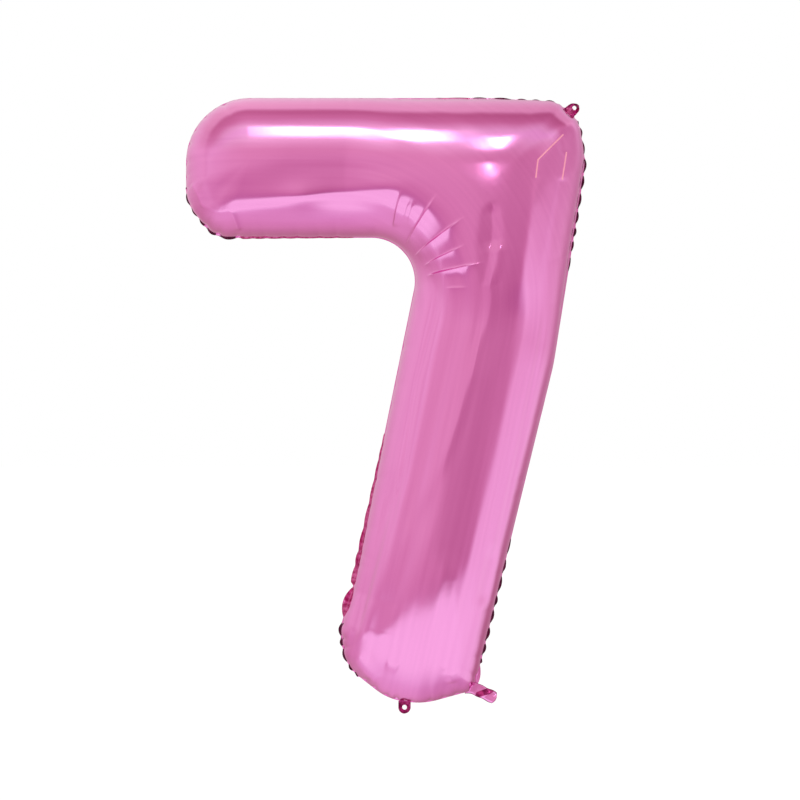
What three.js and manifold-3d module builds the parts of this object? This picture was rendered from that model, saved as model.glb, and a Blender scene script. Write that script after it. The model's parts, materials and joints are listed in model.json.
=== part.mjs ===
// Inflated foil number balloon, digit seven, built from two foil panels sealed round their edge.
// Millimetres, +Z up, +X to the right of the digit, the front panel faces -Y.
// The origin is the centre of the eyelet in the bottom tab, where a tether ribbon is tied.
import * as THREE from "three";
import { mergeVertices } from "three/addons/utils/BufferGeometryUtils.js";
import Module from "manifold-3d";

const wasm = await Module();
wasm.setup();

// ---- Driving dimensions ----
const STROKE = 196; // width of the inflated arm and stem between their seams
const HALF_DEPTH = 98; // seam plane to crown on the straight strokes, as on a round tube
const ELBOW_SWELL = 20; // extra half depth where the two strokes meet
const END_DROP = 6; // the crown sinks this much towards the two closed ends
const FLANGE = 5; // sealed margin outside the seam
const WALL = 0.5; // modelled foil thickness

// Levels from the seam plane outwards. The foil lips lie together round the seam, and swell apart at
// the neck to pass over the release patch and the valve film.
const PATCH_HALF = 0.1;
const FILM_IN = 0.4;
const FILM_OUT = 0.65;
const LIP_CLOSED = 0.15;
const LIP_IN = 0.95;
const LIP_OUT = LIP_IN + WALL;
const SWELL_NEAR = 24; // the lips are fully apart this close to the neck
const SWELL_FAR = 60; // and lie together again beyond this

// Corners of the seam outline, clockwise from the top left: x, z and corner radius.
const CORNERS = [
  [-305, 857, 87],
  [120, 857, 400],
  [240, 850, 48],
  [252, 768, 60],
  [207, 485, 400],
  [95, 27, 12],
  [25, 8, 70],
  [-22, 15, 50],
  [-80, 60, 45],
  [-88, 110, 50],
  [-70, 165, 60],
  [33, 667, 65],
  [-268, 667, 40],
  [-305, 716, 50],
];

// The crown line runs along the arm, round the elbow about FAN and down the stem.
const FAN = new THREE.Vector2(-84, 569);
const CROWN_RADIUS = 96 + STROKE / 2;
const CROWN_PUSH = 50; // how far the elbow's crown swings out towards the corner
const ARM_LENGTH = 127; // straight part of the crown line in the arm
const STEM_LENGTH = 433; // straight part of the crown line in the stem
const STEM_LEAN = THREE.MathUtils.degToRad(12.3);
const TURN = Math.PI / 2 + STEM_LEAN;

// Mesh density of the panels.
const ARM_STEPS = 5;
const ELBOW_STEPS = 20;
const STEM_STEPS = 13;
const CAP_STEPS = 13;
const ARCH_STEPS = 7;

// A pleat of the sealed margin that flares out of the stem's lower left side.
const FLARE = { x: -79, z: 142, reach: 24, extra: 7 };

// Fill neck: a flat foil tube that leaves the foot of the stem at its right corner.
const NECK_ROOT = new THREE.Vector3(93, 0, 29);
const NECK_DROP = THREE.MathUtils.degToRad(25.2); // its axis points this far below +X
const NECK_HINGE = 9; // fold line, from the seam
const FOLD_GAP = 1.8; // clear foil on each side of a fold line
const NECK_LENGTH = 31;
const NECK_WIDTH = 18;
const NECK_MARGIN = 2.5; // flat sealed margin along each side of the neck
const NECK_OPEN = 4.5; // seam plane to crown at the open mouth
const APRON_WIDTH = 23;
const CHANNEL = 12.5; // width of the valve's film sleeve
const VALVE_LENGTH = 80; // inner valve, from the seam inwards
const LIP_START = 12; // where the two loose lips of the valve begin

// Hanging tabs with a punched eyelet.
const TAB_RADIUS = 8.5;
const TAB_THICKNESS = 1;
const EYELET_RADIUS = 3.5;
const BOTTOM_TAB_REACH = 6; // fold line to eyelet centre
const TOP_TAB_REACH = 6.5;
const TOP_TAB_ANGLE = THREE.MathUtils.degToRad(40.6); // above +X
const TOP_TAB_HINGE = 5.8; // fold line, from the seam
const TOP_TAB_TILT = THREE.MathUtils.degToRad(18); // rest pose, towards the front

// ---- Materials ----
const foil = new THREE.MeshStandardMaterial({ color: 0xd95fa8, roughness: 0.22, metalness: 1 });
const film = new THREE.MeshStandardMaterial({ color: 0xe9e6ea, roughness: 0.3, metalness: 0 });
const ink = new THREE.MeshStandardMaterial({ color: 0xf4f1e8, roughness: 0.7, metalness: 0 });

// ---- Outline ----

// The seam outline: straight runs joined by an arc at each corner.
function seamPath(corners) {
  const path = new THREE.Path();
  corners.forEach(([x, z, radius], i) => {
    const at = new THREE.Vector2(x, z);
    const before = new THREE.Vector2(...corners.at(i - 1));
    const after = new THREE.Vector2(...corners[(i + 1) % corners.length]);
    const back = before.sub(at).normalize();
    const ahead = after.sub(at).normalize();
    const half = Math.acos(THREE.MathUtils.clamp(back.dot(ahead), -1, 1)) / 2;
    const centre = back.clone().add(ahead).normalize().multiplyScalar(radius / Math.sin(half)).add(at);
    const start = back.clone().multiplyScalar(radius / Math.tan(half)).add(at);
    const end = ahead.clone().multiplyScalar(radius / Math.tan(half)).add(at);
    const from = start.clone().sub(centre).angle();
    const to = end.clone().sub(centre).angle();
    if (i) path.lineTo(start.x, start.y);
    path.absarc(centre.x, centre.y, radius, from, to, back.cross(ahead) > 0);
  });
  path.closePath();
  return path;
}

const OUTLINE = seamPath(CORNERS).getSpacedPoints(720);

// Where a ray from a point inside the outline leaves it, and the outline's outward normal there.
function castToSeam(from, direction) {
  let best = null;
  for (let i = 0; i + 1 < OUTLINE.length; i++) {
    const a = OUTLINE[i];
    const edge = OUTLINE[i + 1].clone().sub(a);
    const across = direction.cross(edge);
    if (Math.abs(across) < 1e-9) continue;
    const offset = a.clone().sub(from);
    const far = offset.cross(edge) / across;
    const share = offset.cross(direction) / across;
    if (far > 0 && share >= 0 && share <= 1 && (!best || far < best.far)) {
      const normal = new THREE.Vector2(edge.y, -edge.x).normalize();
      if (normal.dot(direction) < 0) normal.negate();
      best = { far, point: direction.clone().multiplyScalar(far).add(from), normal };
    }
  }
  return best;
}

// ---- Columns ----

// One station of the crown line: its place, the direction of its outer rib, and its half depth.
function armStation(t) {
  const x = FAN.x - ARM_LENGTH * (1 - t);
  const depth = HALF_DEPTH - END_DROP * (1 - t) ** 2;
  return { crown: new THREE.Vector2(x, FAN.y + CROWN_RADIUS), rib: new THREE.Vector2(0, 1), depth };
}

function elbowStation(t) {
  const angle = Math.PI / 2 - TURN * t;
  const swell = Math.sin(Math.PI * t) ** 2;
  const rib = new THREE.Vector2(Math.cos(angle), Math.sin(angle));
  const crown = rib.clone().multiplyScalar(CROWN_RADIUS + CROWN_PUSH * swell).add(FAN);
  return { crown, rib, depth: HALF_DEPTH + ELBOW_SWELL * swell };
}

function stemStation(t) {
  const rib = new THREE.Vector2(Math.cos(STEM_LEAN), -Math.sin(STEM_LEAN));
  const down = new THREE.Vector2(-Math.sin(STEM_LEAN), -Math.cos(STEM_LEAN));
  const start = rib.clone().multiplyScalar(CROWN_RADIUS).add(FAN);
  const depth = HALF_DEPTH - END_DROP * t ** 2;
  return { crown: down.multiplyScalar(STEM_LENGTH * t).add(start), rib, depth };
}

function steps(count, station, first = 0) {
  return Array.from({ length: count + 1 - first }, (_, i) => station((i + first) / count));
}

// Every column of a panel, once round the seam: it starts at the seam and climbs to its crown point.
function makeColumns() {
  const stations = [
    ...steps(ARM_STEPS, armStation),
    ...steps(ELBOW_STEPS, elbowStation, 1),
    ...steps(STEM_STEPS, stemStation, 1),
  ];
  const turned = (v, angle) => v.clone().rotateAround(new THREE.Vector2(), angle);
  const fan = (station, sign) =>
    Array.from({ length: CAP_STEPS - 1 }, (_, i) => ({
      ...station,
      rib: turned(station.rib, -Math.PI * ((i + 1) / CAP_STEPS)).multiplyScalar(sign),
    }));
  const opposite = stations.map((s) => ({ ...s, rib: s.rib.clone().negate() })).reverse();
  return [...stations, ...fan(stations.at(-1), 1), ...opposite, ...fan(stations[0], -1)].map((s) => {
    const hit = castToSeam(s.crown, s.rib);
    const flare = Math.hypot(hit.point.x - FLARE.x, hit.point.y - FLARE.z) / FLARE.reach;
    const flange = FLANGE + FLARE.extra * Math.exp(-flare * flare * 2);
    return { ...s, seam: hit.point, edge: hit.normal.clone().multiplyScalar(flange).add(hit.point) };
  });
}

const COLUMNS = makeColumns();

// ---- Solid builders ----

// A geometry of the given triangles, with equal points merged and collapsed triangles left out.
function geometryOf(triangles) {
  const soup = new THREE.BufferGeometry().setFromPoints(triangles.flat());
  const merged = mergeVertices(soup, 1e-4);
  const index = merged.index.array;
  const kept = [];
  for (let i = 0; i < index.length; i += 3) {
    const [a, b, c] = index.subarray(i, i + 3);
    if (a !== b && b !== c && c !== a) kept.push(a, b, c);
  }
  merged.setIndex(kept);
  merged.computeVertexNormals();
  return merged;
}

const quad = (a, b, c, d) => [[a, b, c], [a, c, d]];

// A thin closed sheet between two grids of points, indexed [column][row]. With loop set the columns
// run round in a ring and the last rows meet each other; otherwise all four sides are walled.
function sheetBetween(outer, inner, loop) {
  const triangles = [];
  const columns = outer.length;
  const rows = outer[0].length;
  for (let i = 0; i < (loop ? columns : columns - 1); i++) {
    const j = (i + 1) % columns;
    for (let r = 0; r + 1 < rows; r++) {
      triangles.push(...quad(outer[i][r], outer[i][r + 1], outer[j][r + 1], outer[j][r]));
      triangles.push(...quad(inner[i][r], inner[j][r], inner[j][r + 1], inner[i][r + 1]));
    }
    triangles.push(...quad(outer[i][0], outer[j][0], inner[j][0], inner[i][0]));
    if (!loop) {
      const e = rows - 1;
      triangles.push(...quad(outer[i][e], inner[i][e], inner[j][e], outer[j][e]));
    }
  }
  if (!loop) {
    for (let r = 0; r + 1 < rows; r++) {
      const e = columns - 1;
      triangles.push(...quad(outer[0][r], inner[0][r], inner[0][r + 1], outer[0][r + 1]));
      triangles.push(...quad(outer[e][r], outer[e][r + 1], inner[e][r + 1], inner[e][r]));
    }
  }
  return geometryOf(triangles);
}

// A closed geometry as a solid for cutting and joining, and back.
function solidOf(geometry) {
  const bare = geometry.clone();
  bare.deleteAttribute("normal");
  bare.deleteAttribute("uv");
  const merged = mergeVertices(bare, 1e-4);
  return new wasm.Manifold(
    new wasm.Mesh({
      numProp: 3,
      vertProperties: new Float32Array(merged.attributes.position.array),
      triVerts: new Uint32Array(merged.index.array),
    }),
  );
}

function geometryFrom(solid) {
  const mesh = solid.getMesh();
  const geometry = new THREE.BufferGeometry();
  geometry.setAttribute("position", new THREE.BufferAttribute(mesh.vertProperties.slice(), 3));
  geometry.setIndex(new THREE.BufferAttribute(mesh.triVerts.slice(), 1));
  geometry.computeVertexNormals();
  return geometry;
}

// Reverses every triangle, for a geometry whose two grids were given inside out.
function flipped(geometry) {
  const index = Array.from(geometry.index.array);
  for (let i = 0; i < index.length; i += 3) [index[i], index[i + 1]] = [index[i + 1], index[i]];
  geometry.setIndex(index);
  geometry.computeVertexNormals();
  return geometry;
}

const named = (name, geometry, material) => {
  const mesh = new THREE.Mesh(geometry, material);
  mesh.name = name;
  return mesh;
};

// ---- Panels ----

// Inner face of the lips at a point of the seam.
function lipLevel(seam) {
  const gap = Math.hypot(seam.x - NECK_ROOT.x, seam.y - NECK_ROOT.z);
  return THREE.MathUtils.lerp(LIP_IN, LIP_CLOSED, THREE.MathUtils.smoothstep(gap, SWELL_NEAR, SWELL_FAR));
}

// One foil panel: sealed lip, then a dome that rises square from the seam to its crown.
// side is -1 for the front and +1 for the back.
function panelGeometry(side) {
  const grid = (rise, inset) =>
    COLUMNS.map(({ crown, seam, edge, depth }) => {
      const level = lipLevel(seam) + rise;
      const root = seam.clone().add(crown.clone().sub(seam).setLength(inset));
      const rows = [new THREE.Vector3(edge.x, side * level, edge.y)];
      for (let r = 0; r <= ARCH_STEPS; r++) {
        const angle = ((Math.PI / 2) * r) / ARCH_STEPS;
        const at = r < ARCH_STEPS ? root.clone().lerp(crown, 1 - Math.cos(angle)) : crown;
        const base = THREE.MathUtils.lerp(level, LIP_CLOSED + rise, Math.sin(angle));
        rows.push(new THREE.Vector3(at.x, side * (base + depth * Math.sin(angle)), at.y));
      }
      return rows;
    });
  const shell = sheetBetween(grid(WALL, 0), grid(0, WALL), true);
  return side < 0 ? shell : flipped(shell);
}

// The panel's lip runs on into a straight apron at the neck, and stops at the neck's fold line.
function panelMesh(name, side) {
  const margin = 0.05;
  const start = -1.5;
  const end = NECK_HINGE - FOLD_GAP;
  const apron = new THREE.BoxGeometry(end - start, WALL - 2 * margin, APRON_WIDTH);
  apron.translate((start + end) / 2, side * (LIP_IN + LIP_OUT) / 2, 0);
  apron.rotateY(NECK_DROP).translate(...NECK_ROOT);
  return named(name, geometryFrom(solidOf(panelGeometry(side)).add(solidOf(apron))), foil);
}

// ---- Fill neck and valve, in the neck's own frame: +X outwards, Z across its width ----

// Height of the neck's arch above its sealed margins: flat at the fold, open at the mouth.
function archAt(x, z, halfWidth, open) {
  const along = THREE.MathUtils.smoothstep(x, FOLD_GAP, NECK_LENGTH);
  const across = THREE.MathUtils.clamp(1 - (z / halfWidth) ** 2, 0, 1);
  return open * along * across;
}

// A strip of film or foil beside the seam plane. With lift given it bows off it by lift(x, z).
function strip(side, near, far, x0, x1, width, lift) {
  const lengthSteps = lift ? 6 : 1;
  const widthSteps = lift ? 8 : 1;
  const grid = (level) =>
    Array.from({ length: lengthSteps + 1 }, (_, i) =>
      Array.from({ length: widthSteps + 1 }, (_, j) => {
        const x = THREE.MathUtils.lerp(x0, x1, i / lengthSteps);
        const z = width * (j / widthSteps - 0.5);
        return new THREE.Vector3(x, side * (level + (lift ? lift(x, z) : 0)), z);
      }),
    );
  const made = sheetBetween(grid(far), grid(near), false);
  return side < 0 ? flipped(made) : made;
}

const neckArch = (x, z) => archAt(x, z, NECK_WIDTH / 2 - NECK_MARGIN, NECK_OPEN - LIP_OUT);

function makeNeck() {
  const neck = new THREE.Group();
  const across = new THREE.Vector3(Math.cos(NECK_DROP), 0, -Math.sin(NECK_DROP));
  neck.position.copy(NECK_ROOT).addScaledVector(across, NECK_HINGE);
  neck.rotation.y = NECK_DROP;
  for (const [name, side] of [["front", -1], ["back", 1]]) {
    const ply = strip(side, LIP_IN, LIP_OUT, FOLD_GAP, NECK_LENGTH, NECK_WIDTH, neckArch);
    const inlet = strip(side, FILM_IN, FILM_OUT, FOLD_GAP, NECK_LENGTH - 5, CHANNEL, neckArch);
    neck.add(named(`neck_${name}_ply`, ply, foil), named(`inlet_${name}_film`, inlet, film));
  }
  return neck;
}

// The self-closing valve: two films welded to the foil where the seal crosses the neck, kept from
// fusing to each other by a release patch, and hanging loose inside the balloon as a pair of lips.
function makeValve() {
  const valve = new THREE.Group();
  valve.position.copy(NECK_ROOT);
  valve.rotation.y = NECK_DROP;
  const end = NECK_HINGE - FOLD_GAP;
  for (const [name, side] of [["front", -1], ["back", 1]]) {
    const root = strip(side, FILM_IN, FILM_OUT, -LIP_START, end, CHANNEL);
    const lip = strip(side, FILM_IN, FILM_OUT, -VALVE_LENGTH, -LIP_START - 1, CHANNEL);
    valve.add(named(`valve_${name}_root`, root, film), named(`valve_${name}_lip`, lip, film));
  }
  const patch = new THREE.BoxGeometry(LIP_START + end - 2, 2 * PATCH_HALF, CHANNEL - 4);
  patch.translate((end - LIP_START) / 2, 0, 0);
  valve.add(named("valve_release_patch", patch, ink));
  return valve;
}

// ---- Hanging tabs ----

// A tab that starts at its fold line, x = 0, with its eyelet centre at x = reach.
function tabGeometry(reach) {
  const start = 0.8;
  const outline = new THREE.Shape();
  outline.moveTo(start, -TAB_RADIUS);
  outline.lineTo(reach, -TAB_RADIUS);
  outline.absarc(reach, 0, TAB_RADIUS, -Math.PI / 2, Math.PI / 2, false);
  outline.lineTo(start, TAB_RADIUS);
  outline.closePath();
  const eyelet = new THREE.Path();
  eyelet.absarc(reach, 0, EYELET_RADIUS, 0, 2 * Math.PI, true);
  outline.holes.push(eyelet);
  const options = { depth: TAB_THICKNESS, bevelEnabled: false, curveSegments: 16 };
  const plate = new THREE.ExtrudeGeometry(outline, options);
  return plate.rotateX(Math.PI / 2).translate(0, TAB_THICKNESS / 2, 0);
}

function makeTab(name, reach, hinge, outward, tilt) {
  const tab = new THREE.Group();
  tab.position.copy(hinge);
  tab.rotation.set(0, -outward, -tilt, "YZX");
  tab.add(named(name, tabGeometry(reach), foil));
  return tab;
}

function makeTabs() {
  const bottom = new THREE.Vector3(0, 0, BOTTOM_TAB_REACH);
  const direction = new THREE.Vector2(Math.cos(TOP_TAB_ANGLE), Math.sin(TOP_TAB_ANGLE));
  const corner = castToSeam(FAN.clone().add(direction.clone().multiplyScalar(CROWN_RADIUS)), direction).point;
  corner.add(direction.multiplyScalar(TOP_TAB_HINGE));
  const top = new THREE.Vector3(corner.x, 0, corner.y);
  return [
    makeTab("bottom_hang_tab", BOTTOM_TAB_REACH, bottom, -Math.PI / 2, 0),
    makeTab("top_hang_tab", TOP_TAB_REACH, top, TOP_TAB_ANGLE, TOP_TAB_TILT),
  ];
}

// ---- Assembly ----
const balloon = new THREE.Group();
balloon.add(
  panelMesh("front_panel", -1),
  panelMesh("back_panel", 1),
  makeNeck(),
  makeValve(),
  ...makeTabs(),
);

export default balloon;
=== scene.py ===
"""Looks for the inflated foil digit seven: puckered foil panels, sealed margin, tabs and neck."""

import json
import math

import bpy
import numpy as np
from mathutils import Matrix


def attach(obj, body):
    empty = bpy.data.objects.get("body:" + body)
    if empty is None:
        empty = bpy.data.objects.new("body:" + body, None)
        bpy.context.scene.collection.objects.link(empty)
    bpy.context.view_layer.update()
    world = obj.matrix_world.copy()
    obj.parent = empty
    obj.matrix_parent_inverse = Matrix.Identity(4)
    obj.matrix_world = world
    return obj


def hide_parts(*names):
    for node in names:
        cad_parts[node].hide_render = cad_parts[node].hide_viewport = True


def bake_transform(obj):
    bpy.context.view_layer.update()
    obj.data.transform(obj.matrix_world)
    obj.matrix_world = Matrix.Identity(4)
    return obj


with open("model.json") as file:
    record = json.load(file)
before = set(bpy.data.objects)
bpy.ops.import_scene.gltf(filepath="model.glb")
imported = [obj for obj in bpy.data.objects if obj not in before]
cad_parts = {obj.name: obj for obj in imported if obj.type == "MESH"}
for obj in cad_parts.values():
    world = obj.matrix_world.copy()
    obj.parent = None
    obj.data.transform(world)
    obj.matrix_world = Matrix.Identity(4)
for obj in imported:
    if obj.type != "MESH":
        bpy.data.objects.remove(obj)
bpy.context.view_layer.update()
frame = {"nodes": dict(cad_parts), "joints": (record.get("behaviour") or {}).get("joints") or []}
rng = np.random.default_rng(7)

# ---- Sizes, in metres. Outline and crown line as in the CAD panels, the foot a little rounder ----

# Corners of the seam, clockwise from the top left: x, z and the radius of the round there.
CORNERS = [
    (-0.305, 0.857, 0.087),
    (0.120, 0.857, 0.400),
    (0.240, 0.850, 0.048),
    (0.252, 0.768, 0.060),
    (0.207, 0.485, 0.400),
    (0.095, 0.027, 0.012),
    (0.025, 0.008, 0.100),
    (-0.022, 0.015, 0.075),
    (-0.080, 0.060, 0.060),
    (-0.088, 0.110, 0.050),
    (-0.070, 0.165, 0.060),
    (0.033, 0.667, 0.065),
    (-0.268, 0.667, 0.040),
    (-0.305, 0.716, 0.050),
]
HALF_DEPTH = 0.098
ELBOW_SWELL = 0.020
FAN = np.array([-0.084, 0.569])  # the elbow's ribs fan out from here
CROWN_RADIUS = 0.194
CROWN_PUSH = 0.050  # how far the elbow's crown moves out
ARM_LENGTH = 0.127
STEM_LENGTH = 0.433
STEM_LEAN = math.radians(12.3)
STEM_TURN = math.pi / 2 + STEM_LEAN  # how far the stroke turns at its elbow
STEM_OUT = np.array([math.cos(STEM_LEAN), -math.sin(STEM_LEAN)])
STEM_DOWN = np.array([-math.sin(STEM_LEAN), -math.cos(STEM_LEAN)])

COLUMNS = 1500
ROWS = 61
ROW_CROWDING = 1.35  # above 1, the rows are closer together at the seam
FLANGE_ROWS = 4
STATIONS = 2600
CAP_SHARE = math.pi * 0.1  # length counted for each end cap when the stations are shared out
BEND_CROWDING = 6  # how much closer the columns stand in the inner bend
LIP_GAP = 0.00025  # each panel's lip stands this far from the seam plane

SEAM_PUSH = 0.0030
TOP_NOTCH = np.array([0.2345, 0.8420])
NOTCH_DEPTH = 0.0045
NOTCH_HALF = 0.0105
SIDE_HALF = 0.104  # this far in from a straight side the foil is at full depth
MITRE_SHARE = 0.6
MITRE_SOFTNESS = 2.6
JOIN_POWER = 5
STEM_TAPER = 0.150
STEM_TAPER_PAST = 0.1
STEM_END_DROP = 0.55
ARM_TAPER = 0.05
ARM_TAPER_LENGTH = 0.16
ARM_END_DROP = 0.16
FOOT_SKEW = 0.2
TOP_SIDE = 0.857
RIGHT_SIDE = ((0.252, 0.768), (0.207, 0.485))

PINCH_DEPTH = 0.0042
PINCH_SPREAD = 0.045
PINCH_WIDTH = 0.0022
PINCH_FLARE = 0.11
DEEP_REACH = 0.016  # one pinch in five reaches this much further in
PUCKER_LENGTH = 0.027
PUCKER_CROWDING = 0.009
PUCKER_SWELL = 0.0014
RIPPLE_LENGTHS = (0.031, 0.022, 0.0155)
RIPPLE_SLOPE = 0.0085

# Creases that fan out of the inner bend: where each starts and ends, and its size.
CREASE_RISE = 0.0030
CREASE_STEEP = 0.0011
CREASE_GENTLE = 0.0075
BEND_CREASES = [
    ((-0.015, 0.676), (-0.005, 0.721), 0.8),
    ((0.001, 0.686), (0.006, 0.706), 0.35),
    ((0.006, 0.682), (0.013, 0.707), 0.35),
    ((0.005, 0.655), (0.042, 0.713), 1.0),
    ((0.018, 0.638), (0.079, 0.682), 1.0),
    ((0.030, 0.622), (0.081, 0.645), 0.6),
    ((0.035, 0.607), (0.104, 0.621), 0.9),
    ((0.060, 0.588), (0.083, 0.588), 0.3),
]

# Ridges where facets of slack foil meet: start, end, height and width.
CORNER_KINKS = [
    ((0.218, 0.799), (0.182, 0.762), 0.0011, 0.0045),
    ((0.182, 0.762), (0.179, 0.738), 0.0009, 0.0045),
    ((0.223, 0.775), (0.217, 0.738), 0.0010, 0.0045),
]
ARM_KINKS = [
    ((-0.296, 0.734), (-0.279, 0.706), 0.0016, 0.0035),
    ((-0.279, 0.706), (-0.255, 0.696), 0.0016, 0.0035),
    ((-0.255, 0.696), (-0.237, 0.699), 0.0014, 0.0035),
    ((-0.237, 0.699), (-0.232, 0.672), 0.0016, 0.0030),
]

# Soft valleys (below zero) and swellings (above): start, end, half width at each, and height.
FRONT_FOLDS = [
    ((0.117, 0.700), (0.122, 0.640), 0.006, 0.014, -0.0030),
    ((0.122, 0.672), (0.100, 0.480), 0.016, 0.020, -0.0022),
    ((0.178, 0.735), (0.150, 0.560), 0.014, 0.018, 0.0022),
    ((-0.012, 0.330), (-0.074, 0.096), 0.011, 0.006, -0.0042),
    ((0.006, 0.330), (-0.058, 0.100), 0.012, 0.008, 0.0026),
    ((0.030, 0.300), (-0.030, 0.120), 0.012, 0.010, -0.0020),
    ((0.122, 0.230), (0.108, 0.150), 0.007, 0.009, -0.0026),
    ((0.060, 0.220), (0.072, 0.060), 0.016, 0.012, 0.0020),
    ((-0.068, 0.080), (-0.040, 0.036), 0.010, 0.010, 0.0024),
    ((-0.026, 0.068), (-0.008, 0.064), 0.009, 0.009, 0.0016),
    ((0.062, 0.058), (0.066, 0.040), 0.008, 0.008, 0.0018),
    ((-0.170, 0.716), (0.000, 0.724), 0.012, 0.016, 0.0026),
    ((-0.330, 0.690), (-0.110, 0.716), 0.019, 0.017, 0.0044),
    ((-0.210, 0.745), (0.020, 0.752), 0.016, 0.018, -0.0016),
]
BACK_FOLDS = [
    ((0.150, 0.740), (0.120, 0.560), 0.014, 0.018, -0.0026),
    ((0.085, 0.640), (0.060, 0.420), 0.012, 0.018, 0.0022),
    ((0.010, 0.360), (-0.055, 0.110), 0.012, 0.007, -0.0036),
    ((0.110, 0.300), (0.070, 0.100), 0.014, 0.009, -0.0030),
    ((0.030, 0.280), (0.010, 0.080), 0.016, 0.012, 0.0024),
    ((-0.270, 0.740), (-0.200, 0.735), 0.010, 0.016, 0.0022),
]

# Bands that follow the stroke round its elbow: places (along, across), half width and height.
STROKE_FOLDS = [
    (
        ((0.197, 0.040), (0.243, 0.029), (0.284, 0.008), (0.376, 0.001), (0.468, -0.006), (0.60, -0.024)),
        0.007,
        0.0018,
    ),
    (((0.22, -0.028), (0.35, -0.033), (0.47, -0.036), (0.66, -0.044)), 0.009, -0.0024),
    (((0.05, -0.046), (0.27, -0.052), (0.39, -0.056), (0.66, -0.052)), 0.008, 0.0014),
    (((0.24, -0.063), (0.43, -0.072), (0.57, -0.064), (0.72, -0.062)), 0.0040, -0.0014),
    (((0.30, 0.083), (0.48, 0.086), (0.70, 0.084)), 0.004, -0.0009),
]

# What the sealed margin does along the seam, clockwise: from, to, width at each, and look.
MARGIN_TAUT = 0.0008
MARGIN_ENDS = 0.006
MARGIN_LOOKS = {"film": 0, "dashes": 1, "frill": 2, "ear": 2}  # the panel's material slots
MARGIN_STRETCHES = [
    ((0.040, 0.857), (0.095, 0.857), 0.0012, 0.0016, "frill"),
    ((0.095, 0.857), (0.216, 0.846), 0.0018, 0.0030, "dashes"),
    ((0.225, 0.847), (0.2415, 0.834), 0.0100, 0.0100, "ear"),
    ((0.243, 0.828), (0.238, 0.667), 0.0030, 0.0034, "dashes"),
    ((0.238, 0.667), (0.228, 0.610), 0.0030, 0.0014, "dashes"),
    ((0.150, 0.250), (0.137, 0.200), 0.0012, 0.0030, "dashes"),
    ((0.137, 0.200), (0.109, 0.062), 0.0034, 0.0038, "dashes"),
    ((0.108, 0.060), (0.100, 0.024), 0.0040, 0.0060, "film"),
    ((-0.062, 0.046), (-0.088, 0.124), 0.0028, 0.0042, "dashes"),
    ((-0.087, 0.127), (-0.071, 0.170), 0.0085, 0.0085, "ear"),
    ((-0.071, 0.170), (-0.022, 0.390), 0.0062, 0.0016, "frill"),
    ((-0.060, 0.667), (-0.235, 0.667), 0.0010, 0.0026, "frill"),
    ((-0.235, 0.667), (-0.303, 0.735), 0.0034, 0.0026, "dashes"),
]


# ---- Outline ----

def run_along(points):
    """Distance from the first point to each of them, along the line that they make."""
    return np.r_[0, np.cumsum(np.linalg.norm(np.diff(points, axis=0), axis=1))]


def seam_outline(step=0.001):
    """The seam as evenly spaced points, clockwise from the top left."""
    corners = np.array([c[:2] for c in CORNERS])
    points = []
    for i, radius in enumerate(c[2] for c in CORNERS):
        at = corners[i]
        back = corners[i - 1] - at
        ahead = corners[(i + 1) % len(corners)] - at
        back /= np.linalg.norm(back)
        ahead /= np.linalg.norm(ahead)
        half = math.acos(np.clip(back @ ahead, -1, 1)) / 2
        middle = back + ahead
        middle /= np.linalg.norm(middle)
        centre = at + middle * radius / math.sin(half)
        start = at + back * radius / math.tan(half) - centre
        end = at + ahead * radius / math.tan(half) - centre
        first = math.atan2(start[1], start[0])
        turn = math.atan2(end[1], end[0]) - first
        turn = (turn + math.pi) % (2 * math.pi) - math.pi
        angles = first + turn * np.linspace(0, 1, max(4, int(abs(turn) * radius / step)))
        points.append(centre + radius * np.stack([np.cos(angles), np.sin(angles)], 1))
    points = np.concatenate(points)
    points = np.vstack([points, points[:1]])
    run = run_along(points)
    even = np.linspace(0, run[-1], int(run[-1] / step) + 1)
    return np.stack([np.interp(even, run, points[:, k]) for k in (0, 1)], 1)


def grown(seam):
    """The seam where the filled foil pushes it: a little further out, and notched in at the top tab."""
    ahead = np.roll(seam, -2, 0) - np.roll(seam, 2, 0)
    ahead[:2], ahead[-2:] = ahead[2], ahead[-3]
    out = np.stack([-ahead[:, 1], ahead[:, 0]], 1)
    out /= np.linalg.norm(out, axis=1)[:, None]
    off = np.linalg.norm(seam - TOP_NOTCH, axis=1)
    return seam + out * (SEAM_PUSH - NOTCH_DEPTH * np.exp(-(off / NOTCH_HALF) ** 2))[:, None]


SEAM = grown(seam_outline())
SEAM_RUN = run_along(SEAM)
SEAM_LENGTH = SEAM_RUN[-1]


def ring_smooth(values, sigma):
    """A closed run of values, smoothed by a Gaussian of that width in samples."""
    reach = int(sigma * 4)
    kernel = np.exp(-0.5 * (np.arange(-reach, reach + 1) / sigma) ** 2)
    padded = np.concatenate([values[-reach:], values, values[:reach]])
    return np.convolve(padded, kernel / kernel.sum(), "valid")


def seam_bend():
    """How sharply the seam turns at each of its points: positive on corners, negative in the bend."""
    edges = np.diff(SEAM, axis=0)
    heading = np.unwrap(np.arctan2(edges[:, 1], edges[:, 0]))
    turning = -np.diff(np.r_[heading, heading[0] - 2 * math.pi])
    return ring_smooth(turning / (SEAM_LENGTH / len(turning)), 26)


SEAM_BEND = seam_bend()


def at_run(values, run):
    """A value kept for each seam segment, read at distances along the seam."""
    places = (np.arange(len(values)) + 0.5) * SEAM_LENGTH / len(values)
    return np.interp(run, places, values, period=SEAM_LENGTH)


# ---- Crown line ----

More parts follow.
